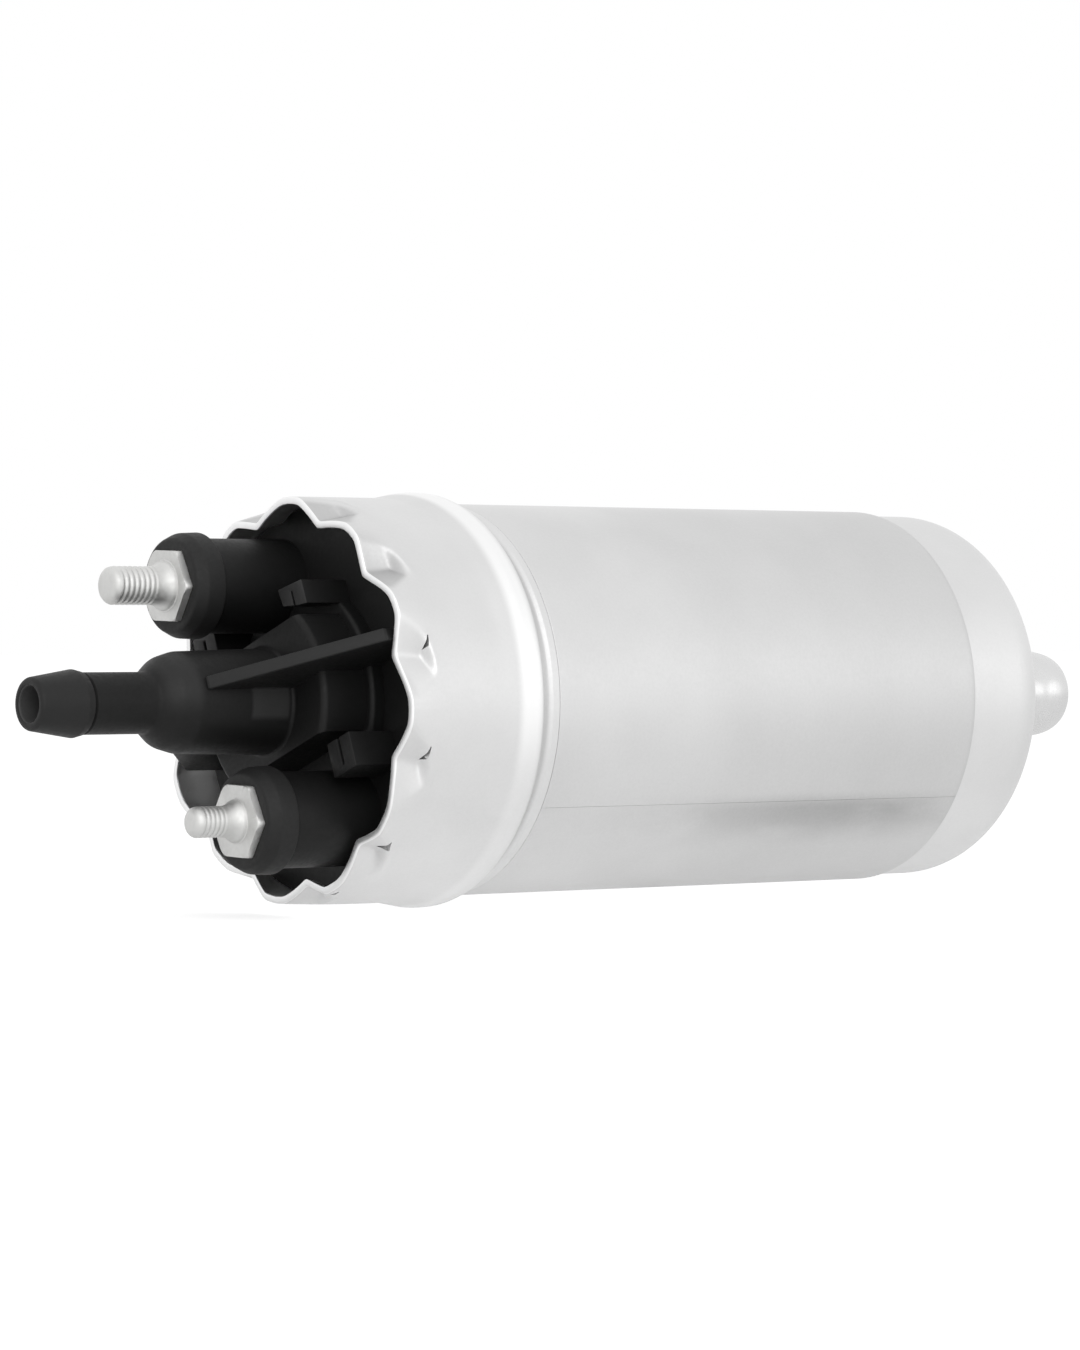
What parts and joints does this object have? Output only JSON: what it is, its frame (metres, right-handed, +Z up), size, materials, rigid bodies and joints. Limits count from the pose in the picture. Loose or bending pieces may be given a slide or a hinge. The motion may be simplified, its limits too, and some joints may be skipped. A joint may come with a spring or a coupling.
{
  "type": "fuel pump",
  "caption": "In-line electric roller-cell fuel pump: drawn can with crimped rim and clamp seat, barbed outlet in a black cover, stud terminals and a beaded inlet pipe.",
  "frame": {"origin": "on the pump's axis, at the middle of the casing's clamp seat", "axes": "+X along the pump's axis from the outlet barb to the inlet pipe, +Z up as in the picture, -Y the near side"},
  "size_m": [0.1756, 0.0552, 0.0552],
  "materials": {
    "can_metal": "satin, drawn and crimped sheet",
    "sleeve_metal": "satin zinc-plated rolled sheet",
    "nipple_metal": "turned and plated",
    "cover_plastic": "moulded, fine satin",
    "insulator_plastic": "moulded, satin",
    "stud_metal": "zinc plated",
    "seal_rubber": "matte",
    "gauze": "woven gauze",
    "plate_steel": "ground",
    "hard_steel": "polished",
    "bronze": "sintered",
    "brass": "drawn",
    "spring_steel": "drawn wire and strip",
    "magnet": "sintered ferrite",
    "core_steel": "stacked laminations",
    "copper": "enamelled wire",
    "carbon": "pressed carbon",
    "carrier_plastic": "phenolic moulding",
    "valve_plastic": "moulded"
  },
  "bodies": {
    "housing": {"pump_can": "can_metal", "outer_sleeve": "sleeve_metal", "inlet_nipple": "nipple_metal", "inlet_strainer": "gauze", "outlet_cover": "cover_plastic", "cover_seal": "seal_rubber", "insulator_positive": "insulator_plastic", "insulator_negative": "insulator_plastic", "terminal_stud_positive": "stud_metal", "terminal_stud_negative": "stud_metal", "choke_positive": "copper", "choke_negative": "copper", "magnet_positive": "magnet", "magnet_negative": "magnet", "magnet_clips": "spring_steel", "brush_tube_positive": "brass", "brush_tube_negative": "brass", "brush_spring_positive": "spring_steel", "brush_spring_negative": "spring_steel", "valve_seat": "valve_plastic", "check_valve_spring": "spring_steel", "middle_plate": "plate_steel", "cam_ring": "plate_steel", "inlet_plate": "plate_steel", "plate_seal": "seal_rubber", "plate_screws": "stud_metal", "dowel_pins": "hard_steel", "relief_valve_plug": "brass", "relief_valve_spring": "spring_steel", "brush_carrier": "carrier_plastic", "front_bush": "bronze", "rear_bush": "bronze", "flux_ring": "plate_steel"},
    "armature": {"armature_shaft": "hard_steel", "lamination_stack": "core_steel", "armature_winding": "copper", "commutator": "copper", "thrust_washers": "valve_plastic", "shaft_spacer": "brass", "drive_coupling": "valve_plastic", "rotor_disc": "plate_steel"},
    "poppet": {"check_valve_poppet": "valve_plastic"},
    "relief_ball": {"relief_valve_ball": "hard_steel"},
    "brush_positive": {"brush_positive": "carbon"},
    "brush_negative": {"brush_negative": "carbon"},
    "roller_1": {"roller_1": "hard_steel"},
    "roller_2": {"roller_2": "hard_steel"},
    "roller_3": {"roller_3": "hard_steel"},
    "roller_4": {"roller_4": "hard_steel"},
    "roller_5": {"roller_5": "hard_steel"}
  },
  "joints": [
    {"name": "armature_spin", "type": "hinge", "parent": "housing", "child": "armature", "pos_m": [0, 0, 0], "axis": [1, 0, 0], "continuous": true},
    {"name": "roller_1_spin", "type": "hinge", "parent": "armature", "child": "roller_1", "pos_m": [0.039, 0, 0.01085], "axis": [1, 0, 0], "continuous": true},
    {"name": "roller_2_spin", "type": "hinge", "parent": "armature", "child": "roller_2", "pos_m": [0.039, 0.01032, 0.00335], "axis": [1, 0, 0], "continuous": true},
    {"name": "roller_3_spin", "type": "hinge", "parent": "armature", "child": "roller_3", "pos_m": [0.039, 0.00638, -0.00878], "axis": [1, 0, 0], "continuous": true},
    {"name": "roller_4_spin", "type": "hinge", "parent": "armature", "child": "roller_4", "pos_m": [0.039, -0.00638, -0.00878], "axis": [1, 0, 0], "continuous": true},
    {"name": "roller_5_spin", "type": "hinge", "parent": "armature", "child": "roller_5", "pos_m": [0.039, -0.01032, 0.00335], "axis": [1, 0, 0], "continuous": true},
    {"name": "check_valve_lift", "type": "slide", "parent": "housing", "child": "poppet", "axis": [-1, 0, 0], "range_m": [0, 0.002], "stiffness_N_per_m": 200, "springref_m": -0.003, "deforming": ["check_valve_spring"]},
    {"name": "relief_valve_lift", "type": "slide", "parent": "housing", "child": "relief_ball", "axis": [1, 0, 0], "range_m": [0, 0.0012], "stiffness_N_per_m": 800, "springref_m": -0.003, "deforming": ["relief_valve_spring"]},
    {"name": "brush_positive_feed", "type": "slide", "parent": "housing", "child": "brush_positive", "axis": [0, 0.4749, 0.8801], "range_m": [0, 0.0025], "stiffness_N_per_m": 150, "springref_m": -0.004, "deforming": ["brush_spring_positive"]},
    {"name": "brush_negative_feed", "type": "slide", "parent": "housing", "child": "brush_negative", "axis": [0, -0.4749, -0.8801], "range_m": [0, 0.0025], "stiffness_N_per_m": 150, "springref_m": -0.004, "deforming": ["brush_spring_negative"]}
  ],
  "couplings": [
    {"joint": "roller_1_spin", "follows": "armature_spin", "ratio": -5.1667},
    {"joint": "roller_2_spin", "follows": "armature_spin", "ratio": -5.1667},
    {"joint": "roller_3_spin", "follows": "armature_spin", "ratio": -5.1667},
    {"joint": "roller_4_spin", "follows": "armature_spin", "ratio": -5.1667},
    {"joint": "roller_5_spin", "follows": "armature_spin", "ratio": -5.1667}
  ]
}
